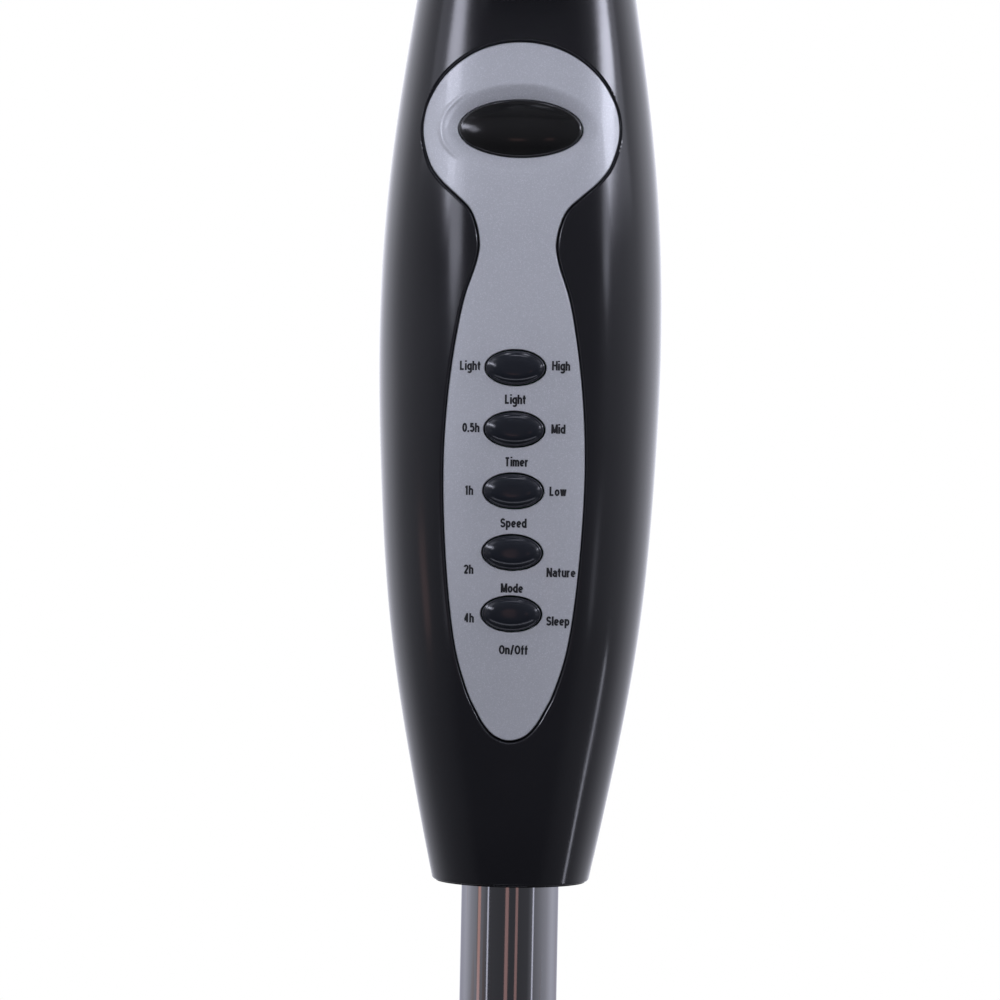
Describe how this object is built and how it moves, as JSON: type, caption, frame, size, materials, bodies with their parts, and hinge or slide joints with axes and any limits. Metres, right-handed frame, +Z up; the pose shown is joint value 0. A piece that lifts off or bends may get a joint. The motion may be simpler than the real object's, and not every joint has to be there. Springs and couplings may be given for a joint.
{
  "type": "pedestal fan",
  "caption": "Pedestal fan: weighted round base, telescopic pole, spindle-shaped button housing, tilting and swinging head with a caged blade.",
  "frame": {"origin": "centre of the floor under the base", "axes": "+Z up, the front of the fan and its buttons face -Y, +X is to the right for someone facing the fan"},
  "size_m": [0.4499, 0.4, 1.305],
  "materials": {
    "black_gloss": "glossy",
    "black_matte": "satin",
    "panel_pearl": "pearl paint with fine metallic flecks",
    "window_black": "glossy",
    "button_black": "glossy",
    "pole_chrome": "polished",
    "chrome_trim": "polished",
    "foot_rubber": "matte",
    "gland_rubber": "matte",
    "ballast": "rough",
    "cast_metal": "as cast",
    "plain_steel": "satin",
    "core_steel": "laminated",
    "coil_copper": "lacquered",
    "bush_bronze": "satin",
    "white_plastic": "satin",
    "board_green": "satin",
    "component_black": "satin",
    "led_lens": "glossy",
    "grille_black": "powder coated",
    "blade_grey": "semi-gloss"
  },
  "bodies": {
    "base": {"base_cover": "black_gloss", "base_weight": "ballast", "base_plate": "black_matte", "base_feet": "foot_rubber", "pole_socket": "cast_metal", "socket_screws": "plain_steel", "base_trim_ring": "chrome_trim", "lower_tube": "pole_chrome", "collar_body": "black_matte", "collet_sleeve": "white_plastic"},
    "lock_nut": {"height_lock_nut": "black_matte"},
    "column": {"upper_tube": "pole_chrome", "tube_guide": "white_plastic", "tube_socket": "black_matte", "frame_screws": "plain_steel", "housing_front": "black_gloss", "housing_rear": "black_gloss", "control_panel": "panel_pearl", "display_window": "window_black", "housing_screws": "plain_steel", "cord_gland": "gland_rubber", "circuit_board": "board_green", "board_screws": "plain_steel", "board_components": "component_black", "tact_switches": "component_black", "indicator_leds": "led_lens", "motor_capacitor": "white_plastic", "wiring_loom": "gland_rubber", "neck_bracket": "black_matte", "tilt_bolt": "plain_steel"},
    "light_button": {"button_light": "button_black"},
    "timer_button": {"button_timer": "button_black"},
    "speed_button": {"button_speed": "button_black"},
    "mode_button": {"button_mode": "button_black"},
    "power_button": {"button_power": "button_black"},
    "tilt": {"tilt_bracket": "black_matte", "swivel_screw": "plain_steel"},
    "tilt_knob": {"tilt_knob": "black_matte"},
    "head": {"gearbox_case": "cast_metal", "motor_rear_bracket": "cast_metal", "motor_front_bracket": "cast_metal", "stator_core": "core_steel", "stator_coils": "coil_copper", "shaft_bushes": "bush_bronze", "motor_screws": "plain_steel", "motor_front_cover": "black_matte", "motor_rear_cover": "black_gloss", "rear_grille": "grille_black", "grille_nut": "black_matte", "front_grille": "grille_black", "grille_ring": "black_gloss", "grille_badge": "panel_pearl"},
    "rotor": {"motor_shaft": "plain_steel", "rotor_core": "core_steel", "fan_blade": "blade_grey", "blade_nut": "black_matte"},
    "worm_wheel": {"worm_wheel": "white_plastic"},
    "swing_knob": {"swing_knob": "black_gloss"},
    "swing_crank": {"swing_crank": "plain_steel"},
    "swing_link": {"swing_link": "plain_steel"}
  },
  "joints": [
    {"name": "height_slide", "type": "slide", "parent": "base", "child": "column", "axis": [0, 0, 1], "range_m": [-0.1, 0.08]},
    {"name": "lock_nut_turn", "type": "hinge", "parent": "base", "child": "lock_nut", "pos_m": [0, 0, 0.47], "axis": [0, 0, 1], "range_deg": [0, 120]},
    {"name": "light_press", "type": "slide", "parent": "column", "child": "light_button", "axis": [0, 1, 0], "range_m": [0, 0.0007], "stiffness_N_per_m": 400},
    {"name": "timer_press", "type": "slide", "parent": "column", "child": "timer_button", "axis": [0, 1, 0], "range_m": [0, 0.0007], "stiffness_N_per_m": 400},
    {"name": "speed_press", "type": "slide", "parent": "column", "child": "speed_button", "axis": [0, 1, 0], "range_m": [0, 0.0007], "stiffness_N_per_m": 400},
    {"name": "mode_press", "type": "slide", "parent": "column", "child": "mode_button", "axis": [0, 1, 0], "range_m": [0, 0.0007], "stiffness_N_per_m": 400},
    {"name": "power_press", "type": "slide", "parent": "column", "child": "power_button", "axis": [0, 1, 0], "range_m": [0, 0.0007], "stiffness_N_per_m": 400},
    {"name": "head_tilt", "type": "hinge", "parent": "column", "child": "tilt", "pos_m": [0, 0, 0.982], "axis": [-1, 0, 0], "range_deg": [-12, 20]},
    {"name": "tilt_knob_turn", "type": "hinge", "parent": "column", "child": "tilt_knob", "pos_m": [0.03, 0, 0.982], "axis": [1, 0, 0], "range_deg": [0, 180]},
    {"name": "head_swing", "type": "hinge", "parent": "tilt", "child": "head", "pos_m": [0, 0, 1.03], "axis": [0, 0, 1], "range_deg": [-40, 40]},
    {"name": "crank_turn", "type": "hinge", "parent": "head", "child": "swing_crank", "pos_m": [0, 0.0125, 1.03], "axis": [0, 0, 1], "range_deg": [-94.5, 94.5]},
    {"name": "link_pivot", "type": "hinge", "parent": "swing_crank", "child": "swing_link", "pos_m": [0, 0.02053, 1.0246], "axis": [0, 0, 1], "range_deg": [-54.5, 54.5]},
    {"name": "fan_spin", "type": "hinge", "parent": "head", "child": "rotor", "pos_m": [0, 0, 1.08], "axis": [0, -1, 0], "continuous": true},
    {"name": "worm_wheel_turn", "type": "hinge", "parent": "head", "child": "worm_wheel", "pos_m": [0.0165, 0.00934, 1.08], "axis": [0, 0, 1], "continuous": true},
    {"name": "swing_knob_push", "type": "slide", "parent": "head", "child": "swing_knob", "axis": [0, 0, 1], "range_m": [-0.007, 0]}
  ],
  "couplings": [
    {"joint": "crank_turn", "follows": "head_swing", "ratio": -2.35},
    {"joint": "link_pivot", "follows": "head_swing", "ratio": 1.35},
    {"joint": "worm_wheel_turn", "follows": "fan_spin", "ratio": -0.033333}
  ]
}
